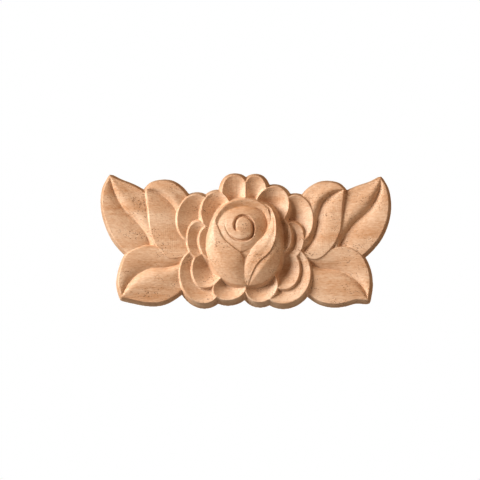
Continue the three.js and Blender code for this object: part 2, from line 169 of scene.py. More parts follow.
def through(places: Sequence[Place]) -> Curve:
    """Draws a smooth curve through a few places.

    Args:
        places: x and z of each, in hundredths of the length, and a lift where it has one.

    Returns:
        A function that gives x, z and lift at shares of the way along.
    """
    knots = np.array([[*place, 0.0][:3] for place in places], float)
    padded = np.vstack([2 * knots[0] - knots[1], knots, 2 * knots[-1] - knots[-2]])
    t = np.linspace(0, 1, CURVE_STEPS, endpoint=False)[:, None]
    line = []
    for before, start, end, after in zip(padded, padded[1:], padded[2:], padded[3:]):
        steps = (start - before, end - start, after - end)
        first, middle, last = (np.linalg.norm(step) ** 0.5 for step in steps)
        chord = end - start
        leave = chord + middle * ((start - before) / first - (end - before) / (first + middle))
        arrive = chord + middle * ((after - end) / last - (after - start) / (middle + last))
        curve = start + leave * t + (3 * chord - 2 * leave - arrive) * t**2
        line.append(curve + (leave + arrive - 2 * chord) * t**3)
    line = np.vstack([*line, knots[-1:]])
    run = np.concatenate([[0.0], np.cumsum(np.linalg.norm(np.diff(line, axis=0), axis=1))])
    return lambda share: np.column_stack(
        [np.interp(np.asarray(share) * run[-1], run, line[:, k]) for k in range(3)])


@dataclass
class Sheet:
    """A patch of carved face, as seen from the front.

    Attributes:
        points: rows of x, z and height, in millimetres.
        facets: rows of three point numbers.
        edge: the numbers of the points around it.
    """
    points: np.ndarray
    facets: np.ndarray
    edge: np.ndarray

    def __post_init__(self) -> None:
        """Turns the facets and the edge counter-clockwise, so that they face the front."""
        x, z = self.points[self.edge, 0], self.points[self.edge, 1]
        if np.sum(x * np.roll(z, -1) - np.roll(x, -1) * z) < 0:
            self.facets = self.facets[:, ::-1]
            self.edge = self.edge[::-1]

    @property
    def outline(self) -> np.ndarray:
        """The edge's places, rows of x and z in millimetres."""
        return self.points[self.edge, :2]

    def solid(self, name: str, far: float, spread: float = 0.0) -> bpy.types.Object:
        """Closes the patch to a solid that ends on a plane parallel to the back.

        Args:
            name: the object's name.
            far: the plane's height: above the patch for the wood that is cut away, behind the
                back for the wood under it.
            spread: sideways run of the wall for each millimetre down to the plane.

        Returns:
            The solid, not yet part of the carving.
        """
        x, z, height = self.points.T
        face = np.column_stack([x, -height, z])
        end = np.column_stack([x, np.full(len(x), -far), z])
        ring = self.edge
        ahead, behind = np.roll(ring, -1), np.roll(ring, 1)
        run = self.points[ahead, :2] - self.points[behind, :2]
        out = np.column_stack([run[:, 1], -run[:, 0]]) / np.linalg.norm(run, axis=1)[:, None]
        drop = (self.points[ring, 2] - far)[:, None]
        end[np.ix_(ring, [0, 2])] += out * drop * spread
        count = len(x)
        facets = np.vstack([
            self.facets,
            self.facets[:, ::-1] + count,
            np.column_stack([ring, ring + count, ahead + count]),
            np.column_stack([ring, ahead + count, ahead]),
        ])
        if far > height.max():
            facets = facets[:, ::-1]
        mesh = bpy.data.meshes.new(name)
        mesh.from_pydata(np.vstack([face, end]).tolist(), [], facets.tolist())
        return bpy.data.objects.new(name, mesh)


def ring_sheet(rim: np.ndarray, heart: Place, rings: int, surface: Surface) -> Sheet:
    """Makes a patch of rings that close in from a rim.

    Args:
        rim: rows of x and z around the patch, in hundredths of the length.
        heart: where the rings close.
        rings: how many there are.
        surface: gives heights at x, z and the share of the way in, for the rim's x and z.

    Returns:
        The patch.
    """
    count = len(rim)
    inward = np.repeat(np.arange(rings) / rings, count)
    around = np.vstack([np.tile(rim[:, :2], (rings, 1)), rim[:1, :2]])
    inward = np.append(inward, 1.0)
    flat = around + (np.array(heart) - around) * inward[:, None]
    heights = surface(flat[:, 0], flat[:, 1], inward, around[:, 0], around[:, 1])
    start = np.arange((rings - 1) * count)
    ahead = start - start % count + (start + 1) % count
    last = np.arange(count) + (rings - 1) * count
    facets = np.vstack([
        np.column_stack([start, ahead, ahead + count]),
        np.column_stack([start, ahead + count, start + count]),
        np.column_stack([last, np.roll(last, -1), np.full(count, rings * count)]),
    ])
    points = np.column_stack([flat * SIZES.plan, heights])
    return Sheet(points, facets, np.arange(count))


def blade_sheet(left: Curve, spine: Curve, right: Curve, rows: int, half: int, surface: Surface) -> Sheet:
    """Makes a patch of rows across a blade, from its base to its tip.

    Args:
        left: the left edge, in hundredths of the length.
        spine: the line down its middle.
        right: the right edge.
        rows: how many rows there are along it.
        half: how many columns there are on each side of the spine.
        surface: gives heights at the places, the share along, the share across from -1 to 1, and
            the spine's and the edge's own places in that row.

    Returns:
        The patch.
    """
    along = np.arange(1, rows) / rows
    across = np.arange(-half, half + 1) / half
    middle, low, high = spine(along)[:, None], left(along)[:, None], right(along)[:, None]
    side = np.where(across[None, :, None] < 0, low, high)
    inner = (middle + (side - middle) * np.abs(across)[None, :, None]).reshape(-1, 3)
    ends = spine(np.array([0.0, 1.0]))
    places = np.vstack([ends, inner])
    share = np.concatenate([[0.0, 1.0], np.repeat(along, len(across))])
    width = np.concatenate([[0.0, 0.0], np.tile(across, len(along))])
    middles = np.vstack([ends, np.repeat(middle[:, 0], len(across), axis=0)])
    sides = np.vstack([ends, side.reshape(-1, 3)])
    heights = surface(places, share, width, middles, sides)
    grid = 2 + np.arange(inner.shape[0]).reshape(rows - 1, len(across))
    corner = [part.ravel() for part in (grid[:-1, :-1], grid[:-1, 1:], grid[1:, 1:], grid[1:, :-1])]
    base, tip = np.zeros(2 * half, int), np.ones(2 * half, int)
    facets = np.vstack([
        np.column_stack([corner[0], corner[1], corner[2]]),
        np.column_stack([corner[0], corner[2], corner[3]]),
        np.column_stack([base, grid[0, 1:], grid[0, :-1]]),
        np.column_stack([grid[-1, :-1], grid[-1, 1:], tip]),
    ])
    edge = np.concatenate([[0], grid[:, -1], [1], grid[::-1, 0]])
    points = np.column_stack([places[:, :2] * SIZES.plan, heights])
    return Sheet(points, facets, edge)


class Step(Enum):
    """What a solid does to the wood that is there already."""
    CUT = "DIFFERENCE"
    JOIN = "UNION"


class Stroke(Enum):
    """Which way the cutter's marks run over a patch, in degrees from level."""
    LEVEL = 0.0
    RISING = 45.0
    UPRIGHT = 90.0
    FALLING = 135.0


@dataclass
class Carving:
    """The wood while it is carved: cuts and joins in their order, and the patches laid.

    Attributes:
        name: the piece's name.
        steps: solids and what each does.
        patches: outlines of the patches in millimetres and the cutter's way over each.
    """
    name: str
    steps: list[tuple[bpy.types.Object, Step]] = field(default_factory=list)
    patches: list[tuple[np.ndarray, Stroke]] = field(default_factory=list)

    def cut(self, solid: bpy.types.Object) -> None:
        """Takes a solid's wood away."""
        self.steps.append((solid, Step.CUT))

    def join(self, solid: bpy.types.Object) -> None:
        """Adds a solid's wood."""
        self.steps.append((solid, Step.JOIN))

    def lay(self, name: str, sheet: Sheet, stroke: Stroke) -> None:
        """Puts a carved patch in front of all that is there already.

        Args:
            name: the patch's name.
            sheet: its face.
            stroke: the cutter's way over it.
        """
        self.cut(sheet.solid(name + "_above", SIZES.above))
        self.join(sheet.solid(name + "_under", -SIZES.spare_back, SIZES.wall_slope))
        self.patches.append((sheet.outline, stroke))

    def carved(self) -> bpy.types.Object:
        """Carries out the steps.

        Returns:
            The carving as one object with a plain mesh.
        """
        # The first patch had nothing to be laid on, so the wood under it is what the rest is cut from.
        block, _ = self.steps[1]
        block.name = self.name
        scene = bpy.context.scene.collection
        for solid, step in self.steps[2:]:
            scene.objects.link(solid)
            solid.hide_render = True
            modifier = block.modifiers.new(solid.name, "BOOLEAN")
            modifier.operation = step.value
            modifier.solver = "MANIFOLD"
            modifier.object = solid
        scene.objects.link(block)
        settle(block)
        for solid, _ in self.steps:
            if solid is not block:
                bpy.data.objects.remove(solid)
        return block


def settle(piece: bpy.types.Object) -> None:
    """Turns an object's modifiers into plain mesh.

    Args:
        piece: an object in the scene.
    """
    graph = bpy.context.evaluated_depsgraph_get()
    graph.update()
    mesh = bpy.data.meshes.new_from_object(piece.evaluated_get(graph), depsgraph=graph)
    piece.modifiers.clear()
    piece.data = mesh


def facet_count(mesh: bpy.types.Mesh) -> int:
    """How many triangles a mesh makes."""
    return sum(len(polygon.vertices) - 2 for polygon in mesh.polygons)


def vertex_places(mesh: bpy.types.Mesh) -> np.ndarray:
    """Every vertex's place, a row each."""
    places = np.empty(len(mesh.vertices) * 3, np.float32)
    mesh.vertices.foreach_get("co", places)
    return places.reshape(-1, 3)


def within(outline: np.ndarray, x: np.ndarray, z: np.ndarray) -> np.ndarray:
    """Which places lie inside an outline.

    Args:
        outline: rows of x and z around it.
        x: the places' x.
        z: the places' z.

    Returns:
        True or False for each place.
    """
    low, high = outline.min(axis=0), outline.max(axis=0)
    near = np.flatnonzero((x > low[0]) & (x < high[0]) & (z > low[1]) & (z < high[1]))
    crossed = np.zeros(len(near), bool)
    for (x0, z0), (x1, z1) in zip(outline, np.roll(outline, -1, axis=0)):
        level = (z[near] > z0) != (z[near] > z1)
        if level.any():
            side = x0 + (x1 - x0) * (z[near] - z0) / (z1 - z0)
            crossed ^= level & (x[near] < side)
    inside = np.zeros(len(x), bool)
    inside[near] = crossed
    return inside


@dataclass(frozen=True)
class CutterMarks:
    """The marks of the spinning cutter: shallow round furrows side by side over the carved face.

    They run each patch's own way, wander a little, and fade where the wood was sanded more.

    Attributes:
        way: the name of the vertex attribute that holds their way, in radians from level.
        spacing: from one furrow to the next, in millimetres.
        depth: of a furrow, in millimetres.
        wander: how far apart a furrow's farthest strays to its two sides can lie, in millimetres.
        sanded: size of the areas where they fade, in millimetres.
        fading: the noise at which they are gone, and the noise at which they are whole.
        facing: the normal's Y at which a face is turned too far from the front to be marked, and
            the Y at which it is marked in full.
        seed: picks where they wander and fade.
        seed_gap: from the seed of the wandering to the seed of the fading.
    """
    way: str = "cutter_way"
    spacing: float = 1.15
    depth: float = 0.05
    wander: float = 2.8
    sanded: float = 9.0
    fading: tuple[float, float] = (0.3, 0.6)
    facing: tuple[float, float] = (-0.25, -0.6)
    seed: int = 7
    seed_gap: float = 10.0

    def mark_ways(self, mesh: bpy.types.Mesh, patches: list[tuple[np.ndarray, Stroke]]) -> None:
        """Notes on each vertex which way the cutter went, by the last patch laid over it.

        Args:
            mesh: the carving's mesh, in millimetres.
            patches: outlines and ways, lowest first.
        """
        x, _, z = vertex_places(mesh).T
        ways = np.zeros(len(x), np.float32)
        for outline, stroke in patches:
            ways[within(outline, x, z)] = math.radians(stroke.value)
        mesh.attributes.new(self.way, "FLOAT", "POINT").data.foreach_set("value", ways)

    def tree(self) -> bpy.types.GeometryNodeTree:
        """Builds the nodes that press the furrows into a surface.

        Returns:
            The node group, with inputs for the sizes, the seed and the material.
        """
        tree = bpy.data.node_groups.new("cutter_marks", "GeometryNodeTree")
        kinds = {"Geometry": "Geometry", "Spacing": "Float", "Depth": "Float", "Wander": "Float",
                 "Sanded": "Float", "Seed": "Int", "Material": "Material"}
        for name, kind in kinds.items():
            tree.interface.new_socket(name=name, in_out="INPUT", socket_type="NodeSocket" + kind)
        tree.interface.new_socket(name="Geometry", in_out="OUTPUT", socket_type="NodeSocketGeometry")
        given = add_node(tree, "NodeGroupInput").outputs
        maths = "ShaderNodeMath"
        place = add_node(tree, "GeometryNodeInputPosition")
        x, _, z = add_node(tree, "ShaderNodeSeparateXYZ", inputs={0: place}).outputs
        way = add_node(tree, "GeometryNodeInputNamedAttribute", {"data_type": "FLOAT"}, {"Name": self.way})

        # Across the furrows lies z times the way's cosine, less x times its sine.
        cosine = add_node(tree, maths, {"operation": "COSINE"}, {0: way})
        sine = add_node(tree, maths, {"operation": "SINE"}, {0: way})
        rise = add_node(tree, maths, {"operation": "MULTIPLY"}, {0: z, 1: cosine})
        shift = add_node(tree, maths, {"operation": "MULTIPLY"}, {0: x, 1: sine})
        across = add_node(tree, maths, {"operation": "SUBTRACT"}, {0: rise, 1: shift})

        # One soft noise strays and the other fades. Noise is livelier half way between whole seeds.
        fineness = add_node(tree, maths, {"operation": "DIVIDE"}, {0: 1.0, 1: given["Sanded"]})
        stray_seed = add_node(tree, maths, {"operation": "ADD"}, {0: given["Seed"], 1: 0.5})
        fade_seed = add_node(tree, maths, {"operation": "ADD"}, {0: stray_seed, 1: self.seed_gap})
        stray, fade = (
            add_node(tree, "ShaderNodeTexNoise", {"noise_dimensions": "4D"},
                     {"Vector": place, "W": seed, "Scale": fineness, "Detail": 1.0})
            for seed in (stray_seed, fade_seed))
        centred = add_node(tree, maths, {"operation": "SUBTRACT"}, {0: stray, 1: 0.5})
        strayed = add_node(tree, maths, {"operation": "MULTIPLY_ADD"},
                           {0: centred, 1: given["Wander"], 2: across})

        # A furrow is one arch of a sine, and its ridges are where two arches meet.
        turns = add_node(tree, maths, {"operation": "DIVIDE"}, {0: strayed, 1: given["Spacing"]})
        angle = add_node(tree, maths, {"operation": "MULTIPLY"}, {0: turns, 1: math.pi})
        wave = add_node(tree, maths, {"operation": "SINE"}, {0: angle})
        furrow = add_node(tree, maths, {"operation": "ABSOLUTE"}, {0: wave})
        kept = add_node(tree, "ShaderNodeMapRange", inputs={
            "Value": fade, "From Min": self.fading[0], "From Max": self.fading[1]})
        normal = add_node(tree, "GeometryNodeInputNormal")
        turned = add_node(tree, "ShaderNodeSeparateXYZ", inputs={0: normal}).outputs["Y"]
        front = add_node(tree, "ShaderNodeMapRange", inputs={
            "Value": turned, "From Min": self.facing[0], "From Max": self.facing[1]})
        share = add_node(tree, maths, {"operation": "MULTIPLY"}, {0: furrow, 1: kept})
        reach = add_node(tree, maths, {"operation": "MULTIPLY"}, {0: front, 1: given["Depth"]})
        depth = add_node(tree, maths, {"operation": "MULTIPLY"}, {0: share, 1: reach})
        inward = add_node(tree, maths, {"operation": "MULTIPLY"}, {0: depth, 1: -1.0})
        pressed = add_node(tree, "ShaderNodeVectorMath", {"operation": "SCALE"},
                           {0: normal, "Scale": inward})
        moved = add_node(tree, "GeometryNodeSetPosition", inputs={
            "Geometry": given["Geometry"], "Offset": pressed})
        whole = add_node(tree, "GeometryNodeRealizeInstances", inputs={"Geometry": moved})
        dressed = add_node(tree, "GeometryNodeSetMaterial", inputs={
            "Geometry": whole, "Material": given["Material"]})
        add_node(tree, "NodeGroupOutput", inputs={"Geometry": dressed})
        return tree

    def press(self, piece: bpy.types.Object, patches: list[tuple[np.ndarray, Stroke]],
              wood: bpy.types.Material) -> None:
        """Presses the furrows into a carving and dresses it in its wood.

        Args:
            piece: the carving, in millimetres.
            patches: its patches' outlines and ways, lowest first.
            wood: its material.
        """
        self.mark_ways(piece.data, patches)
        modifier = piece.modifiers.new("cutter_marks", "NODES")
        modifier.node_group = self.tree()
        sizes = {"Spacing": self.spacing, "Depth": self.depth, "Wander": self.wander,
                 "Sanded": self.sanded, "Seed": self.seed, "Material": wood}
        for item in modifier.node_group.interface.items_tree:
            if item.in_out == "INPUT" and item.name in sizes:
                modifier[item.identifier] = sizes[item.name]
        settle(piece)
        piece.data.attributes.remove(piece.data.attributes[self.way])


@dataclass(frozen=True)
class Leaf:
    """A leaf: an outer half that dips to the rib, and an inner half that swells beside it.

    Attributes:
        name: which leaf it is.
        tier: how many leaves lie below it.
        base: where it comes out from under the flower or the next leaf.
        tip: its point.
        outer: places on its outer edge between the two.
        rib: places on its rib.
        inner: places on its inner edge.
        stroke: the cutter's way over it.
    """
    name: str
    tier: int
    base: Place
    tip: Place
    outer: tuple[Place, ...]
    rib: tuple[Place, ...]
    inner: tuple[Place, ...]
    stroke: Stroke

    def side(self, places: tuple[Place, ...]) -> Curve:
        """The curve from base to tip through some places."""
        return through([self.base, *places, self.tip])


@dataclass(frozen=True)
class Leaves:
    """The six leaves, lowest first on each side.

    Attributes:
        edge: from the back to the edge of the lowest leaves, in millimetres.
        step: how much higher each leaf's edge stands than the one below it.
        fall: how far an inner half drops towards what lies over it.
        rib_depth: the valley along the middle.
        swell: the inner half's rise beside the valley.
        swell_scale: brings the swell's curve to a height of about 1.
        inner_power: how steeply the valley's side rises in the inner half.
        outer_power: the same in the outer half.
        tip_share: the share of a leaf's length over which its valley and swell run out at the tip.
        rows: rows along a leaf.
        half: columns on each side of the rib.
        leaves: the leaves themselves.
    """
    edge: float = 5.9
    step: float = 0.6
    fall: float = 2.4
    rib_depth: float = 2.2
    swell: float = 1.3
    swell_scale: float = 9.5
    inner_power: float = 4.0
    outer_power: float = 3.0
    tip_share: float = 0.25
    rows: int = 90
    half: int = 16
    leaves: tuple[Leaf, ...] = (
        Leaf("left_side_leaf", 0, (-30.5, -8), (-46.6, 22.3),
             ((-37, -6.9), (-43.6, -1.3), (-46.9, 4.2), (-48.9, 11.2), (-48.7, 17.8)),
             ((-32.1, -3), (-33.8, 1.6), (-37.7, 6.8), (-42.4, 11.6), (-45.5, 17.7)),
             ((-27.6, -1), (-29.3, 8.9), (-33.6, 15.6), (-38.2, 18.6), (-43.6, 20.8)), Stroke.FALLING),
        Leaf("right_side_leaf", 0, (30.5, -8), (46.3, 21.2),
             ((37, -7.2), (43.8, -1.6), (47.1, 3.6), (48.9, 10.6), (48.3, 17.2)),
             ((31.9, -3), (33.5, 1.2), (37.5, 6.1), (42.7, 10.8), (45.7, 17)),
             ((28, -1), (29.2, 8.7), (33.4, 15.4), (37.8, 17.8), (42.9, 19.5)), Stroke.RISING),
        Leaf("left_low_leaf", 1, (-19, -7), (-42.2, -19.5),
             ((-26.4, -3.8), (-32.9, -2), (-36.7, -2.9), (-40.6, -5.1), (-42.9, -11.1), (-43.3, -15.4)),
             ((-27.2, -9.5), (-32, -9.6), (-36.1, -11.2), (-39.9, -14.7)),
             ((-20.4, -15.5), (-24.7, -19.4), (-28.7, -21.2), (-33.3, -21.4), (-38.5, -20.4)), Stroke.LEVEL),
        Leaf("right_low_leaf", 1, (18.5, -7), (41.5, -20.8),
             ((24.7, -5.1), (31, -2.9), (34.6, -2.8), (39.1, -5.3), (41.6, -10), (42.3, -15.4)),
             ((25.4, -9.8), (31, -10.5), (36.3, -12.9), (40.1, -17)),
             ((19.6, -16), (24.6, -20.7), (29.4, -22), (33.4, -21.7), (37.5, -20.6)), Stroke.LEVEL),
        Leaf("left_high_leaf", 2, (-18, -5), (-34.1, 17.5),
             ((-25.7, -6.3), (-29.8, -2.7), (-32.2, 2.4), (-33.3, 10.9)),
             ((-21.7, 5.1), (-24.2, 10.9), (-27.4, 14.5), (-30.5, 16.5)),
             ((-17.6, 5), (-19.7, 14.3), (-22.8, 18.3), (-25.8, 20), (-29.2, 20.2), (-32.4, 19.3)),
             Stroke.UPRIGHT),
        Leaf("right_high_leaf", 2, (17.5, -5), (33.7, 17),
             ((24.3, -6.8), (29.2, -2.9), (32.2, 2.7), (33, 10.7)),
             ((22.4, -1), (24.6, 7.7), (26.2, 12.5), (29.9, 15.7)),
             ((16.9, 3.8), (18.3, 12.1), (21.4, 16.8), (25.5, 19.3), (29.4, 19.5), (32, 18.7)),
             Stroke.UPRIGHT),
    )

    def sheet(self, leaf: Leaf) -> Sheet:
        """Makes one leaf's face.

        Args:
            leaf: the leaf.

        Returns:
            Its patch.
        """
        edge = self.edge + leaf.tier * self.step

        def surface(places: np.ndarray, along: np.ndarray, across: np.ndarray,
                    *_: np.ndarray) -> np.ndarray:
            """Heights over the leaf."""
            fade = 1 - np.maximum(0.0, 1 - (1 - along) / self.tip_share) ** 2
            out = np.abs(across)
            power = np.where(across > 0, self.inner_power, self.outer_power)
            valley = self.rib_depth * fade * (1 - out) ** power
            swell = self.swell * fade * self.swell_scale * out * (1 - out) ** 3
            fall = self.fall * (1 - along) * out
            return edge - valley + np.where(across > 0, swell - fall, 0.0)

        sides = [leaf.side(places) for places in (leaf.outer, leaf.rib, leaf.inner)]
        return blade_sheet(*sides, self.rows, self.half, surface)

    def carve(self, carving: Carving) -> None:
        """Lays the leaves on the wood, lowest first."""
        for leaf in self.leaves:
            carving.lay(leaf.name, self.sheet(leaf), leaf.stroke)
            log.info("laid %s", leaf.name)


@dataclass(frozen=True)
class Lobe:
    """A hollowed ellipse of petal.

    Attributes:
        at: its centre, in hundredths of the length.
        half: its half width and half height.
        turn: its turn in degrees.
        power: 2 for an ellipse, more for squarer shoulders.
        lift: for the bud, how far its face stands from the dome, in hundredths of its height.
    """
    at: Place
    half: Place
    turn: float = 0.0
    power: float = 2.0
    lift: float = 0.0

    def rim(self, margin: float = 0.0, count: int = 120) -> np.ndarray:
        """Places around it.

        Args:
            margin: how far they are drawn in.
            count: how many there are.

        Returns:
            Rows of x and z, counter-clockwise.
        """
        around = np.arange(count) * 2 * math.pi / count
        cosine, sine = np.cos(around), np.sin(around)
        u = (self.half[0] - margin) * np.sign(cosine) * np.abs(cosine) ** (2 / self.power)
        v = (self.half[1] - margin) * np.sign(sine) * np.abs(sine) ** (2 / self.power)
        turn = math.radians(self.turn)
        x = self.at[0] + u * math.cos(turn) - v * math.sin(turn)
        z = self.at[1] + u * math.sin(turn) + v * math.cos(turn)
        return np.column_stack([x, z])


@dataclass(frozen=True)
class Petal:
    """An open petal.

    Attributes:
        name: which petal it is.
        stroke: the cutter's way over it.
        lobes: its one lobe or two.
    """
    name: str
    stroke: Stroke
    lobes: tuple[Lobe, ...]


@dataclass(frozen=True)
class Petals:
    """The open petals round the bud, lowest first.

    Attributes:
        fall: how far a hollow falls from its outermost rim, as a share of the lobe's half width.
        deepest: the most that it falls, in millimetres.
        lean: how far its deepest place lies from the lobe's centre towards the flower's middle,
            as a share of the half width.
        steepness: how much steeper a hollow is near its rim than near its deepest place.
        rings: rings of facets in each hollow.
        blank_rings: rings of facets in a lobe before it is hollowed.
        petals: the petals themselves.
    """
    fall: float = 0.7
    deepest: float = 5.8
    lean: float = 0.65
    steepness: float = 1.3
    rings: int = 14
    blank_rings: int = 8
    petals: tuple[Petal, ...] = (
        Petal("upper_left_petal", Stroke.LEVEL, (Lobe((-17.1, 7.2), (6.3, 8.4), -5),)),
        Petal("upper_right_petal", Stroke.LEVEL, (Lobe((17.2, 6.8), (6, 8.3), 2),)),
        Petal("lower_left_petal", Stroke.LEVEL, (Lobe((-15, -12.6), (7.3, 9.4), 14),)),
        Petal("lower_right_petal", Stroke.LEVEL, (Lobe((13.2, -12.1), (9, 10), -11),)),
        Petal("top_petal", Stroke.UPRIGHT,
              (Lobe((-3.8, 15.6), (4.3, 6.5), -3, 2.5), Lobe((3.5, 15.4), (3.9, 6.5), 3, 2.4))),
        Petal("foot_left_petal", Stroke.LEVEL, (Lobe((-5.3, -16.6), (5.8, 4.2), 12),)),
        Petal("left_petal", Stroke.LEVEL,
              (Lobe((-16, -0.3), (3.9, 6.5), 4), Lobe((-12.7, -9.5), (5.4, 7.2), -13))),
        Petal("right_petal", Stroke.LEVEL,
              (Lobe((15.3, -0.6), (4.6, 6.5), -12), Lobe((12.7, -9.9), (5.8, 7.3), 8))),
        Petal("foot_right_petal", Stroke.LEVEL, (Lobe((5.5, -16.1), (5.2, 5.8), -50),)),
        Petal("inner_left_petal", Stroke.UPRIGHT,
              (Lobe((-10.1, 9.5), (5.1, 6.9), -3), Lobe((-9.4, -1.9), (5.9, 7.5), 37))),
        Petal("inner_right_petal", Stroke.UPRIGHT,
              (Lobe((9, 11), (5.8, 7.4), -20), Lobe((12, 1.7), (3.8, 6.1), 9))),
    )

    def blank(self, lobe: Lobe) -> Sheet:
        """The lobe up to its rim, before it is hollowed."""
        return ring_sheet(lobe.rim(), lobe.at, self.blank_rings, lambda x, z, *_: SIZES.rims(x, z))

    def hollow(self, lobe: Lobe) -> Sheet:
        """The face of its hollow, which falls towards the middle of the flower."""
        half, away = min(lobe.half), math.hypot(*lobe.at)
        lowest = tuple(place * (1 - self.lean * half / away) for place in lobe.at)
        outermost = (place * (1 + half / away) for place in lobe.at)
        floor = SIZES.rims(*outermost) - min(self.deepest, self.fall * half * SIZES.plan)

        def surface(x: np.ndarray, z: np.ndarray, inward: np.ndarray, rim_x: np.ndarray,
                    rim_z: np.ndarray) -> np.ndarray:
            """Heights over the hollow."""
            return floor + (SIZES.rims(rim_x, rim_z) - floor) * (1 - inward) ** self.steepness

        return ring_sheet(lobe.rim(SIZES.rim_land / SIZES.plan), lowest, self.rings, surface)

    def carve(self, carving: Carving) -> None:
        """Lays the petals on the wood, lowest first, and hollows them."""
        for petal in self.petals:
            name = petal.name
            blanks = [self.blank(lobe) for lobe in petal.lobes]
            for number, blank in enumerate(blanks):
                carving.cut(blank.solid(f"{name}_{number}_above", SIZES.above))
                carving.patches.append((blank.outline, petal.stroke))
            for number, blank in enumerate(blanks):
                under = blank.solid(f"{name}_{number}_under", -SIZES.spare_back, SIZES.wall_slope)
                carving.join(under)
            for number, lobe in enumerate(petal.lobes):
                carving.cut(self.hollow(lobe).solid(f"{name}_{number}_hollow", SIZES.above))
            log.info("laid %s", name)


@dataclass(frozen=True)
class Spiral:
    """The V-shaped groove that winds round the top of the bud, deepest near its inner end.

    Attributes:
        line: places along its middle, from its inner end.
        width: in millimetres.
        depth: in millimetres.
        run_in: the share of its length over which it deepens.
        run_out: the share over which it fades again.
        probe: the share of its length, each way, over which its direction is measured.
        clearance: how far above the face the cut starts, in millimetres.
        rows: rows of facets along it.
        half: columns on each side of its middle.
    """
    line: tuple[Place, ...] = (
        (-1.6, 1.8), (-3.3, 3), (-3.5, 5), (-2.6, 6.9), (-0.6, 7.6), (1.6, 6.5), (2.8, 3.9), (2.2, 0.6),
        (0.2, -0.7), (-2.6, -0.7), (-5.1, 0.8), (-6.6, 3.3), (-6.9, 6), (-5.9, 8.2),
    )
    width: float = 1.9
    depth: float = 2.2
    run_in: float = 0.08
    run_out: float = 0.4
    probe: float = 0.01
    clearance: float = 0.1
    rows: int = 200
    half: int = 4

    def strength(self, share: np.ndarray) -> np.ndarray:
        """How far it is opened, from 0 to 1, at shares of the way along."""
        return np.minimum(1.0, np.minimum(share / self.run_in, (1 - share) / self.run_out))

    def side(self, offset: float) -> Curve:
        """Its outer edge, middle or inner edge.

        Args:
            offset: -1, 0 or 1.

        Returns:
            A function from shares along to places.
        """
        middle = through(self.line)

        def places(share: np.ndarray) -> np.ndarray:
            """Places along that line."""
            share = np.asarray(share)
            ahead, behind = np.minimum(1, share + self.probe), np.maximum(0, share - self.probe)
            run = middle(ahead) - middle(behind)
            half_width = self.strength(share) * self.width / 2 / SIZES.plan
            reach = offset * half_width / np.hypot(run[:, 0], run[:, 1])
            aside = np.column_stack([run[:, 1] * reach, -run[:, 0] * reach, np.zeros_like(reach)])
            return middle(share) + aside
        return places


@dataclass(frozen=True)
class BudPetal:
    """A petal wrapped round the bud, as x, z and lift above the dome along three lines.

    Attributes:
        name: which petal it is.
        outer: its outer edge.
        spine: its highest line.
        inner: its inner edge.
        stroke: the cutter's way over it.
        roundness: how long it stays near its highest line before it falls to its edges.
        rows: rows of facets along it.
        half: columns on each side of its highest line.
    """
    name: str
    outer: tuple[Place, ...]
    spine: tuple[Place, ...]
    inner: tuple[Place, ...]
    stroke: Stroke
    roundness: float = 1.6
    rows: int = 80
    half: int = 12

    def sheet(self) -> Sheet:
        """Its face, which swells between its edges."""
        def surface(places: np.ndarray, along: np.ndarray, across: np.ndarray,
                    middle: np.ndarray, side: np.ndarray) -> np.ndarray:
            """Heights over the petal."""
            lift = middle[:, 2] + (side[:, 2] - middle[:, 2]) * np.abs(across) ** self.roundness
            return SIZES.bud(places[:, 0], places[:, 1], lift)
        lines = [through(places) for places in (self.outer, self.spine, self.inner)]
        return blade_sheet(*lines, self.rows, self.half, surface)


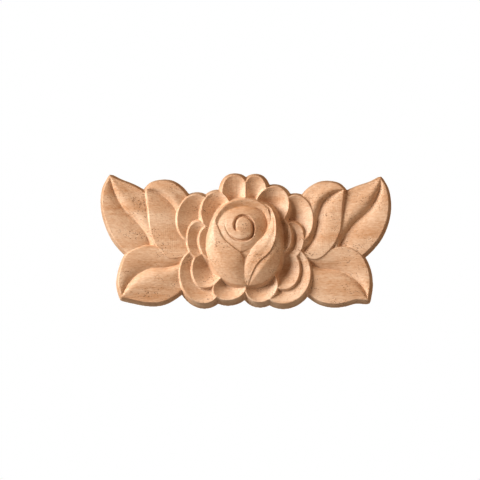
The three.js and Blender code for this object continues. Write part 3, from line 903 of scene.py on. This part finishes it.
@dataclass(frozen=True)
class Bud:
    """The rolled bud: a cup, the heart inside it with its spiral, and three petals wrapped round.

    Attributes:
        foot: the wood behind the bud's lower end.
        cup: the outermost petal.
        cup_depth: the drop inside its rim, in millimetres.
        cup_band: the share of the cup over which it drops.
        heart_top: the highest place of the heart.
        heart_rim: x, z and lift around the heart.
        heart_power: how steeply the heart rises from its rim.
        heart_places: how many places its rim is drawn with.
        rings: rings of facets in the heart and in the cup.
        blank_rings: rings of facets in the foot and in the cup before it is hollowed.
        spiral: the groove between the rolled petals.
        petals: the wrapped petals, lowest first.
    """
    foot: Lobe = Lobe((-0.2, -1.4), (12.1, 14.5), 0, 2.2, -14)
    cup: Lobe = Lobe((-0.2, -0.6), (11.4, 14), 0, 2.2)
    cup_depth: float = 1.9
    cup_band: float = 1 / 6
    heart_top: Place = (-1.3, 4.1)
    heart_rim: tuple[Place, ...] = (
        (-1.5, -4.8, -9), (2, -3.4, -13), (5.7, -0.1, -23), (7.7, 3.7, -27), (6.4, 8.9, -21),
        (0.3, 10.8, -12), (-6.2, 9.3, -9), (-8.7, 7.1, -8), (-9.5, 4.3, -7), (-8.5, 1.3, -7),
        (-5.5, -1.7, -7),
    )
    heart_power: float = 1.7
    heart_places: int = 144
    rings: int = 24
    blank_rings: int = 12
    spiral: Spiral = Spiral()
    petals: tuple[BudPetal, ...] = (
        BudPetal(
            "bud_right_petal",
            ((7.8, 11.6, -7), (10.1, 8.9, -8), (11.4, 4.4, -8), (12.1, -1.4, -8), (11.9, -7.1, -8),
             (9.7, -12, -8), (6, -15, -10), (1.3, -16, -13)),
            ((7.8, 11.6, -7), (9.9, 6, -6), (10.6, -1, -2), (8.4, -6.5, 1), (5.2, -10.8, 1),
             (1.3, -16, -13)),
            ((7.8, 11.6, -7), (9.3, 8.1, -7), (9.8, 1.9, -6), (7.7, -4.2, -6), (4, -7.8, -8),
             (1.8, -11.4, -11), (1, -14.2, -13), (1.3, -16, -13)),
            Stroke.LEVEL),
        BudPetal(
            "bud_left_petal",
            ((-10.7, 6.5, -5), (-11.9, 3.1, -9), (-12.7, -0.9, -12), (-12.6, -4.7, -13), (-11, -9.4, -13),
             (-8.2, -13, -13), (-4.5, -15.3, -13), (0.4, -16.1, -13)),
            ((-10.7, 6.5, -5), (-10.7, 2.6, 0), (-10, -1.9, 1), (-8.1, -6.3, 1), (-5.4, -10.3, 0),
             (0.4, -16.1, -13)),
            ((-10.7, 6.5, -5), (-9.4, 4, -2), (-7.6, 0, -1), (-4.1, -3.3, -1), (-1.5, -5.3, -4),
             (-0.6, -8.3, -10), (-0.2, -12.2, -12), (0.4, -16.1, -13)),
            Stroke.LEVEL),
        BudPetal(
            "bud_front_petal",
            ((5.7, 12.2, -4), (8.6, 10.6, 1), (10.3, 6.3, 5), (10.4, 0.4, 6), (8.4, -4.6, 4),
             (4.6, -8.1, 1), (2.3, -11.9, -3), (0.9, -16, -12)),
            ((5.7, 12.2, -4), (9.1, 8.6, -2), (9.5, 2.6, -1), (6.6, -3.3, -2), (2.9, -7.7, -3),
             (1.3, -11.6, -6), (0.9, -16, -12)),
            ((5.7, 12.2, -4), (7.9, 9.7, -11), (8.4, 6, -14), (6.9, 1.5, -13), (2.7, -3.3, -11),
             (0.2, -8, -11), (-0.3, -13, -12), (0.9, -16, -13)),
            Stroke.UPRIGHT),
    )

    def heart_rim_places(self) -> np.ndarray:
        """Places and lifts around the heart."""
        shares = np.arange(self.heart_places) / self.heart_places
        return through([*self.heart_rim, self.heart_rim[0]])(shares)

    def heart_height(self, x: np.ndarray, z: np.ndarray) -> np.ndarray:
        """The heart rises from its rim to its top, steeply at first.

        Args:
            x: places in hundredths of the length.
            z: the same.

        Returns:
            Heights in millimetres.
        """
        rim = self.heart_rim_places()
        a, b = rim, np.roll(rim, -1, axis=0)
        top = np.array(self.heart_top)
        dx, dz = (x - top[0])[:, None], (z - top[1])[:, None]
        run = b[:, :2] - a[:, :2]
        start = a[:, :2] - top
        slack = 1e-6
        with np.errstate(divide="ignore", invalid="ignore"):
            across = dx * run[:, 1] - dz * run[:, 0]
            reach = (start[:, 0] * run[:, 1] - start[:, 1] * run[:, 0]) / across
            share = (start[:, 0] * dz - start[:, 1] * dx) / across
            hit = (reach > 0) & (share > -slack) & (share < 1 + slack)
            rim_lift = a[:, 2] + (b[:, 2] - a[:, 2]) * share
            lift = np.where(hit, rim_lift / reach**self.heart_power, -np.inf)
        lift = lift.max(axis=1)
        return SIZES.bud(x, z, np.where(np.isfinite(lift), lift, 0.0))

    def heart(self) -> Sheet:
        """The heart's face."""
        rim = self.heart_rim_places()
        return ring_sheet(rim, self.heart_top, self.rings, lambda x, z, *_: self.heart_height(x, z))

    def groove(self) -> Sheet:
        """The walls of the spiral groove in the heart."""
        spiral = self.spiral

        def surface(places: np.ndarray, along: np.ndarray, across: np.ndarray,
                    *_: np.ndarray) -> np.ndarray:
            """Heights down both walls."""
            depth = spiral.depth * spiral.strength(along) * (1 - np.abs(across))
            return self.heart_height(places[:, 0], places[:, 1]) - depth + spiral.clearance

        sides = [spiral.side(offset) for offset in (-1, 0, 1)]
        return blade_sheet(*sides, spiral.rows, spiral.half, surface)

    def cup_hollow(self) -> Sheet:
        """The inside of the cup, which drops from its rim to a level floor."""
        def surface(x: np.ndarray, z: np.ndarray, inward: np.ndarray, *_: np.ndarray) -> np.ndarray:
            """Heights inside the cup."""
            return SIZES.bud(x, z) - self.cup_depth * np.minimum(1.0, inward / self.cup_band)
        return ring_sheet(self.cup.rim(SIZES.rim_land / SIZES.plan), self.cup.at, self.rings, surface)

    def carve(self, carving: Carving) -> None:
        """Lays the bud on the wood, from its foot to the petal in front."""
        for name, lobe in (("bud_foot", self.foot), ("cup", self.cup)):
            blank = ring_sheet(lobe.rim(), lobe.at, self.blank_rings,
                               lambda x, z, *_, lobe=lobe: SIZES.bud(x, z, lobe.lift))
            carving.lay(name, blank, Stroke.UPRIGHT)
        carving.cut(self.cup_hollow().solid("cup_hollow", SIZES.above))
        carving.lay("heart", self.heart(), Stroke.UPRIGHT)
        carving.cut(self.groove().solid("spiral", SIZES.above))
        for petal in self.petals:
            carving.lay(petal.name, petal.sheet(), petal.stroke)
            log.info("laid %s", petal.name)


@dataclass(frozen=True)
class Rosette:
    """The whole carving as one piece.

    Attributes:
        node: the solid that it stands for.
        body: the body that it rides on.
        slot: a name for its material slot; not used.
        grain: size of the smallest rounding, in millimetres.
        sanding: how far each pass of sanding draws a place towards its neighbours' middle.
        passes: how many passes there are.
        true_within: places this near the back are laid flat on it, in millimetres.
        crisp_angle: facets that meet at more degrees than this keep their edge.
        most_facets: the finished mesh's budget.
    """
    node: str = "carved_rosette"
    body: str = "root"
    slot: str = "carved_wood"
    grain: float = 0.25
    sanding: float = 0.5
    passes: int = 2
    true_within: float = 0.15
    crisp_angle: float = 60.0
    most_facets: int = 190_000

    def make(self, wood: bpy.types.Material) -> bpy.types.Object:
        """Carves the rosette, rounds its edges and leaves the cutter's marks on it.

        Args:
            wood: its material.

        Returns:
            The carving, in metres and in place.
        """
        carving = Carving("rosette_carving")
        Leaves().carve(carving)
        Petals().carve(carving)
        Bud().carve(carving)
        carving.cut(self.behind())
        piece = carving.carved()
        log.info("joined to %d facets", facet_count(piece.data))
        self.soften(piece)
        log.info("softened to %d facets", facet_count(piece.data))
        CutterMarks().press(piece, carving.patches, wood)
        self.thin(piece)
        piece.data.transform(Matrix.Scale(MILLIMETRE, 4))
        self.shade(piece.data)
        log.info("finished with %d facets", facet_count(piece.data))
        return piece

    def behind(self) -> bpy.types.Object:
        """All that lies behind the flat back."""
        reach = SIZES.length
        corners = [[-reach, -reach, 0], [reach, -reach, 0], [reach, reach, 0], [-reach, reach, 0]]
        sheet = Sheet(np.array(corners, float), np.array([[0, 1, 2], [0, 2, 3]]), np.arange(4))
        return sheet.solid("behind", -4 * SIZES.spare_back)

    def soften(self, piece: bpy.types.Object) -> None:
        """Rounds every edge a little, as sanding does."""
        remesh = piece.modifiers.new("soften", "REMESH")
        remesh.mode = "VOXEL"
        remesh.voxel_size = self.grain
        smooth = piece.modifiers.new("sand", "SMOOTH")
        smooth.factor = self.sanding
        smooth.iterations = self.passes
        settle(piece)

    def thin(self, piece: bpy.types.Object) -> None:
        """Joins facets where the surface is even, down to the budget, and trues the back."""
        decimate = piece.modifiers.new("thin", "DECIMATE")
        decimate.ratio = self.most_facets / facet_count(piece.data)
        settle(piece)
        places = vertex_places(piece.data)
        places[places[:, 1] > -self.true_within, 1] = 0.0
        piece.data.vertices.foreach_set("co", places.ravel())
        piece.data.update()

    def shade(self, mesh: bpy.types.Mesh) -> None:
        """Shades the carving smooth, with a crisp edge round the flat back."""
        mesh.shade_smooth()
        mesh.set_sharp_from_angle(angle=math.radians(self.crisp_angle))


@dataclass(frozen=True)
class PaleHardwood:
    """Rubberwood, planed and carved by a spinning cutter and left bare: a warm cream to light tan,
    with straight grain along the board, short dark open pores and hardly any shine.

    Attributes:
        pale: the lightest wood.
        tan: the darker bands.
        pore: inside the pores.
        roughness: bare sanded wood.
        ior: of wood's cell walls, as varnishless timber is usually given.
        band_width: millimetres across a band of darker wood.
        band_length: along it.
        band_swirl: how much the bands bend.
        streak_width: across a fine streak of grain.
        streak_length: along it.
        streak_share: of the streaks in the tone, against the bands' whole.
        fibre_width: across a tuft of fibres that the cutter raised.
        fibre_length: along it.
        fibre_share: of the fibres in the tone.
        tone_span: the sums of the three that give the lightest and the darkest wood.
        pore_gap: from one row of pores to the next.
        pore_length: from pore to pore along a row.
        pore_sizes: the narrowest and the widest pores, as shares of the gap. The finest are drawn
            wider than in real wood, so that they show.
        pore_edge: the share over which a pore's edge darkens.
        cluster_width: across a patch of wood with wide pores.
        cluster_length: along it.
        cluster_span: the noise that gives the narrowest and the widest pores.
        relief: height of the raised fibres, in millimetres.
        relief_strength: how strongly the light shows it, from 0 to 1.
        streak_relief: the streaks' share in the relief.
    """
    pale: str = "#E8D1BB"
    tan: str = "#D2AB88"
    pore: str = "#865529"
    roughness: float = 0.5
    ior: float = 1.5
    band_width: float = 9.0
    band_length: float = 81.0
    band_swirl: float = 0.6
    streak_width: float = 0.45
    streak_length: float = 14.0
    streak_share: float = 0.45
    fibre_width: float = 0.7
    fibre_length: float = 1.9
    fibre_share: float = 0.6
    tone_span: tuple[float, float] = (0.8, 1.3)
    pore_gap: float = 0.6
    pore_length: float = 1.5
    pore_sizes: tuple[float, float] = (0.1, 0.3)
    pore_edge: float = 0.2
    cluster_width: float = 6.0
    cluster_length: float = 12.0
    cluster_span: tuple[float, float] = (0.38, 0.66)
    relief: float = 0.22
    relief_strength: float = 0.8
    streak_relief: float = 0.3

    def material(self) -> bpy.types.Material:
        """Builds the wood.

        Returns:
            The material.
        """
        made = bpy.data.materials.new("pale_hardwood")
        made.use_nodes = True
        tree = made.node_tree
        tree.nodes.clear()
        place = add_node(tree, "ShaderNodeTexCoord").outputs["Object"]
        patterns = {
            "bands": (self.band_width, self.band_length),
            "streaks": (self.streak_width, self.streak_length),
            "fibres": (self.fibre_width, self.fibre_length),
            "pores": (self.pore_gap, self.pore_length),
            "clusters": (self.cluster_width, self.cluster_length),
        }
        # Each pattern counts its own widths across the board and its own lengths along it.
        counted = {}
        for name, (width, length) in patterns.items():
            across, along = 1 / (width * MILLIMETRE), 1 / (length * MILLIMETRE)
            counted[name] = add_node(tree, "ShaderNodeMapping", inputs={
                "Vector": place, "Scale": (along, across, across)})

        bands = add_node(tree, "ShaderNodeTexNoise", inputs={
            "Vector": counted["bands"], "Scale": 1.0, "Detail": 2.0, "Distortion": self.band_swirl})
        streaks = add_node(tree, "ShaderNodeTexNoise", inputs={
            "Vector": counted["streaks"], "Scale": 1.0, "Detail": 3.0})
        fibres = add_node(tree, "ShaderNodeTexNoise", inputs={
            "Vector": counted["fibres"], "Scale": 1.0, "Detail": 2.0})
        mixed = add_node(tree, "ShaderNodeMath", {"operation": "MULTIPLY_ADD"},
                         {0: streaks.outputs[0], 1: self.streak_share, 2: bands.outputs[0]})
        mixed = add_node(tree, "ShaderNodeMath", {"operation": "MULTIPLY_ADD"},
                         {0: fibres.outputs[0], 1: self.fibre_share, 2: mixed})
        tone = add_node(tree, "ShaderNodeMapRange", inputs={
            "Value": mixed, "From Min": self.tone_span[0], "From Max": self.tone_span[1]})
        wood = add_node(tree, "ShaderNodeMix", {"data_type": "RGBA"},
                        {"Factor": tone, "A": linear(self.pale), "B": linear(self.tan)})

        cells = add_node(tree, "ShaderNodeTexVoronoi", {"feature": "F1"},
                         {"Vector": counted["pores"], "Scale": 1.0})
        where = add_node(tree, "ShaderNodeTexNoise", inputs={
            "Vector": counted["clusters"], "Scale": 1.0, "Detail": 1.0})
        size = add_node(tree, "ShaderNodeMapRange", inputs={
            "Value": where.outputs[0], "From Min": self.cluster_span[0],
            "From Max": self.cluster_span[1], "To Min": self.pore_sizes[0], "To Max": self.pore_sizes[1]})
        inside = add_node(tree, "ShaderNodeMath", {"operation": "SUBTRACT"},
                          {0: size, 1: cells.outputs["Distance"]})
        pores = add_node(tree, "ShaderNodeMapRange", inputs={
            "Value": inside, "From Min": 0.0, "From Max": self.pore_edge})
        coloured = add_node(tree, "ShaderNodeMix", {"data_type": "RGBA"},
                            {"Factor": pores, "A": wood.outputs["Result"], "B": linear(self.pore)})

        relief = add_node(tree, "ShaderNodeMath", {"operation": "MULTIPLY_ADD"},
                          {0: streaks.outputs[0], 1: self.streak_relief, 2: fibres.outputs[0]})
        relief = add_node(tree, "ShaderNodeMath", {"operation": "SUBTRACT"}, {0: relief, 1: pores})
        bump = add_node(tree, "ShaderNodeBump", inputs={
            "Height": relief, "Strength": self.relief_strength, "Distance": self.relief * MILLIMETRE})
        shader = add_node(tree, "ShaderNodeBsdfPrincipled", inputs={
            "Base Color": coloured.outputs["Result"], "Roughness": self.roughness, "IOR": self.ior,
            "Normal": bump})
        add_node(tree, "ShaderNodeOutputMaterial", inputs={"Surface": shader})
        return made


@dataclass(frozen=True)
class Lamp:
    """A large soft lamp that faces the rosette.

    Attributes:
        name: the lamp's name.
        direction: from the rosette to it.
        power: in watts.
        size: of its side, in metres.
        colour: of its light.
        distance: from the rosette, in metres.
    """
    name: str
    direction: Place
    power: float
    size: float
    colour: str
    distance: float = 3.0

    def hang(self) -> None:
        """Puts the lamp in the scene."""
        data = bpy.data.lights.new(self.name, "AREA")
        data.energy = self.power
        data.size = self.size
        data.color = linear(self.colour)[:3]
        lamp = bpy.data.objects.new(self.name, data)
        towards = Vector(self.direction).normalized()
        turn = towards.to_track_quat("Z", "Y").to_matrix().to_4x4()
        lamp.matrix_world = Matrix.Translation(towards * self.distance) @ turn
        bpy.context.scene.collection.objects.link(lamp)


@dataclass(frozen=True)
class Studio:
    """The camera at the photograph's viewing angle, the light and the floor.

    Attributes:
        pixel: metres at the back's plane for each pixel of the photograph.
        distance: from the camera to the back's plane, in metres.
        elevation: of the camera, in degrees; it looks up a little.
        azimuth: of the camera, in degrees.
        frame_size: the photograph's width and height in pixels.
        origin_pixel: where the middle of the rosette's back lies in the photograph.
        sensor: the camera's sensor, in millimetres.
        floor_drop: from the middle of the rosette to the floor, in metres.
        floor_reach: half the floor's side, in metres.
        floor_colour: a pale grey.
        floor_roughness: a matt floor.
        lamps: the key lamp on the left and the fill on the right.
        surround: the colour of the light from all round.
        surround_strength: of that light from straight below and from straight above.
        contrast: under 1 for the deeper shadows of a catalogue picture.
    """
    pixel: float = 0.150 / 291
    distance: float = 0.9
    elevation: float = -7.0
    azimuth: float = 1.5
    frame_size: int = 480
    origin_pixel: tuple[float, float] = (245.75, 241.0)
    sensor: float = 36.0
    floor_drop: float = 1.5
    floor_reach: float = 1.5
    floor_colour: str = "#ECECEA"
    floor_roughness: float = 0.8
    lamps: tuple[Lamp, ...] = (
        Lamp("key", (-1.0, -0.6, 0.34), 133.0, 1.7, "#FFFFFF"),
        Lamp("fill", (1.0, -0.8, 0.34), 29.0, 2.2, "#FFEBD6"),
    )
    surround: str = "#FFD9B0"
    surround_strength: tuple[float, float] = (0.02, 0.34)
    contrast: float = 0.69

    def camera(self) -> None:
        """Places the camera."""
        turn, rise = math.radians(self.azimuth), math.radians(self.elevation)
        back = Vector((math.sin(turn) * math.cos(rise), -math.cos(turn) * math.cos(rise), math.sin(rise)))
        right = (-back).cross(Vector((0, 0, 1))).normalized()
        up = right.cross(-back)
        middle = self.frame_size / 2
        aim = (up * (self.origin_pixel[1] - middle) - right * (self.origin_pixel[0] - middle)) * self.pixel
        data = bpy.data.cameras.new("camera")
        data.sensor_width = self.sensor
        data.lens = self.sensor * self.distance / self.pixel / self.frame_size
        camera = bpy.data.objects.new("camera", data)
        axes = Matrix((right, up, back)).transposed().to_4x4()
        camera.matrix_world = Matrix.Translation(aim + back * self.distance) @ axes
        bpy.context.scene.collection.objects.link(camera)
        bpy.context.scene.camera = camera

    def sky(self) -> None:
        """Makes a white surround that lights the rosette only softly."""
        world = bpy.data.worlds.new("studio")
        world.use_nodes = True
        tree = world.node_tree
        tree.nodes.clear()
        seen = add_node(tree, "ShaderNodeLightPath").outputs["Is Camera Ray"]
        towards = add_node(tree, "ShaderNodeTexCoord").outputs["Generated"]
        rise = add_node(tree, "ShaderNodeSeparateXYZ", inputs={0: towards}).outputs["Z"]
        strength = add_node(tree, "ShaderNodeMapRange", inputs={
            "Value": rise, "From Min": -1.0, "From Max": 1.0,
            "To Min": self.surround_strength[0], "To Max": self.surround_strength[1]})
        glow = add_node(tree, "ShaderNodeBackground", inputs={
            "Color": linear(self.surround), "Strength": strength})
        white = add_node(tree, "ShaderNodeBackground", inputs={
            "Color": linear("#FFFFFF"), "Strength": 1.0})
        sky = add_node(tree, "ShaderNodeMixShader", inputs={0: seen, 1: glow, 2: white})
        add_node(tree, "ShaderNodeOutputWorld", inputs={"Surface": sky})
        bpy.context.scene.world = world
        bpy.context.scene.view_settings.view_transform = "Standard"
        bpy.context.scene.view_settings.gamma = self.contrast

    def floor(self) -> None:
        """Lays the plain pale floor."""
        mesh = bpy.data.meshes.new("floor")
        reach, level = self.floor_reach, -self.floor_drop
        corners = [(-reach, -reach, level), (reach, -reach, level),
                   (reach, reach, level), (-reach, reach, level)]
        mesh.from_pydata(corners, [], [(0, 1, 2, 3)])
        floor = bpy.data.objects.new("floor", mesh)
        material = bpy.data.materials.new("pale_floor")
        material.use_nodes = True
        shader = material.node_tree.nodes["Principled BSDF"]
        shader.inputs["Base Color"].default_value = linear(self.floor_colour)
        shader.inputs["Roughness"].default_value = self.floor_roughness
        mesh.materials.append(material)
        bpy.context.scene.collection.objects.link(floor)

    def set_up(self) -> None:
        """Sets up camera, lamps, surround and floor."""
        self.camera()
        for lamp in self.lamps:
            lamp.hang()
        self.sky()
        self.floor()


def main() -> None:
    """Builds the studio and the rosette, and says which piece stands for which solid."""
    logging.basicConfig(level=logging.INFO, format="%(name)s: %(message)s")
    Studio().set_up()
    rosette = Rosette()
    piece = rosette.make(PaleHardwood().material())
    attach(piece, rosette.body)
    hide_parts(rosette.node)


if __name__ == "__main__":
    main()
